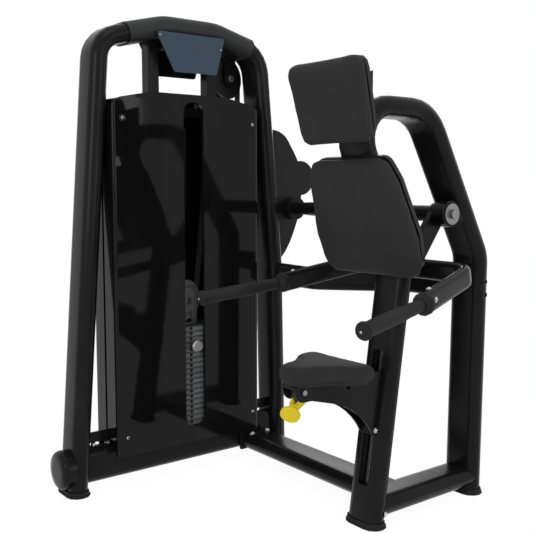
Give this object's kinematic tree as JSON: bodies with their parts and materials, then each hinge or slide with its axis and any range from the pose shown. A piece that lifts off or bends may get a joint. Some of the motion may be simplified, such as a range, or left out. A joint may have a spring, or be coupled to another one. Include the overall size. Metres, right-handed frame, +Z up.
{
  "type": "seated dip machine",
  "caption": "Selectorized seated dip machine: padded station with swinging press handles, cam, belt and pulleys, and a shrouded weight stack tower.",
  "frame": {"origin": "on the floor under the station's front post", "axes": "+Z up, -Y the way the user faces, +X across the seat away from the weight tower"},
  "size_m": [1.2335, 1.1532, 1.535],
  "materials": {
    "frame": "gloss black powder coat",
    "shroud": "mirror-gloss black sheet",
    "sleeve": "matt dark grey moulding",
    "rubber": "matt black rubber",
    "grip": "fine-ribbed black rubber",
    "cushion": "dark grey vinyl leather",
    "moulded_black": "satin black moulding",
    "stack_grey": "grey painted steel",
    "chrome": "polished chrome",
    "steel": "zinc-plated steel",
    "belt": "black flat belt",
    "yellow": "gloss yellow moulding",
    "placard": "slate blue plate, bare"
  },
  "bodies": {
    "root": {"station_frame": "frame", "station_crossbar": "frame", "station_front_foot": "rubber", "station_rear_foot": "rubber", "tower_front_foot": "rubber", "tower_rear_foot": "rubber", "seat_height_strip": "steel", "tower_arch": "frame", "tower_base_tube": "frame", "top_sleeve": "sleeve", "tower_base_cap": "frame", "lateral_base_tube": "frame", "link_tube": "frame", "resting_plates": "stack_grey", "guide_rod_front": "chrome", "guide_rod_rear": "chrome", "stack_bumper": "rubber", "hanger_frame": "frame", "top_pulley_bracket": "frame", "top_pulley_bolt": "steel", "belt_anchor_run": "belt", "belt_slanted_run": "belt", "belt_upper_run": "belt", "tower_bearing": "frame", "arch_bearing": "frame", "front_shroud": "shroud", "rear_shroud": "shroud", "front_placard": "placard", "rear_placard": "frame", "back_pad": "cushion", "back_pad_shell": "moulded_black", "head_pad": "cushion", "head_pad_shell": "moulded_black"},
    "arm": {"pivot_tube": "frame", "pivot_nut": "chrome", "swing_arm": "frame", "handle_frame": "frame", "handle_collar_left": "rubber", "handle_collar_right": "rubber", "grip_left": "grip", "grip_right": "grip", "grip_cap_left": "rubber", "grip_cap_right": "rubber", "cam": "stack_grey", "counterweight": "stack_grey", "belt_on_cam": "belt"},
    "lifted_stack": {"lifted_plates": "stack_grey", "head_plate": "stack_grey", "selector_stem": "steel", "pulley_cage": "stack_grey", "pulley_cage_bolt": "steel", "belt_lower_turn": "belt"},
    "moving_pulley_wheel": {"moving_pulley": "moulded_black"},
    "top_pulley_wheel": {"top_pulley": "moulded_black"},
    "pin": {"selector_pin": "chrome"},
    "seat": {"seat_carriage": "frame", "seat_pad": "cushion", "seat_lever_bolt": "steel"},
    "lever": {"seat_lever": "yellow"},
    "latch": {"seat_latch": "steel"}
  },
  "joints": [
    {"name": "arm_swing", "type": "hinge", "parent": "root", "child": "arm", "pos_m": [0, 0.29, 0.9], "axis": [1, 0, 0], "range_deg": [0, 30]},
    {"name": "stack_lift", "type": "slide", "parent": "root", "child": "lifted_stack", "axis": [0, 0, 1], "range_m": [0, 0.047], "deforming": ["belt_anchor_run", "belt_slanted_run"]},
    {"name": "moving_pulley_turn", "type": "hinge", "parent": "lifted_stack", "child": "moving_pulley_wheel", "pos_m": [-0.742, -0.172, 0.592], "axis": [0.9703, 0.2419, 0], "range_deg": [0, 41]},
    {"name": "top_pulley_turn", "type": "hinge", "parent": "root", "child": "top_pulley_wheel", "pos_m": [-0.79764, 0.05117, 1.363], "axis": [0.9703, 0.2419, 0], "range_deg": [-81, 0]},
    {"name": "selector_pin_pull", "type": "slide", "parent": "lifted_stack", "child": "pin", "axis": [1, 0, 0], "range_m": [0, 0.085]},
    {"name": "seat_slide", "type": "slide", "parent": "root", "child": "seat", "axis": [0, 0.1403, 0.9901], "range_m": [-0.12, 0.055]},
    {"name": "seat_lever_lift", "type": "hinge", "parent": "seat", "child": "lever", "pos_m": [0, -0.272, 0.438], "axis": [1, 0, 0], "range_deg": [-20, 0]},
    {"name": "seat_latch_pull", "type": "slide", "parent": "seat", "child": "latch", "axis": [0, -0.9901, 0.1403], "range_m": [0, 0.0076], "stiffness_N_per_m": 600, "springref_m": -0.012}
  ],
  "couplings": [
    {"joint": "stack_lift", "follows": "arm_swing", "m_per_rad": 0.08722},
    {"joint": "moving_pulley_turn", "follows": "arm_swing", "ratio": 1.3144},
    {"joint": "top_pulley_turn", "follows": "arm_swing", "ratio": -2.6288},
    {"joint": "seat_lever_lift", "follows": "seat_latch_pull", "rad_per_m": -45.455}
  ]
}
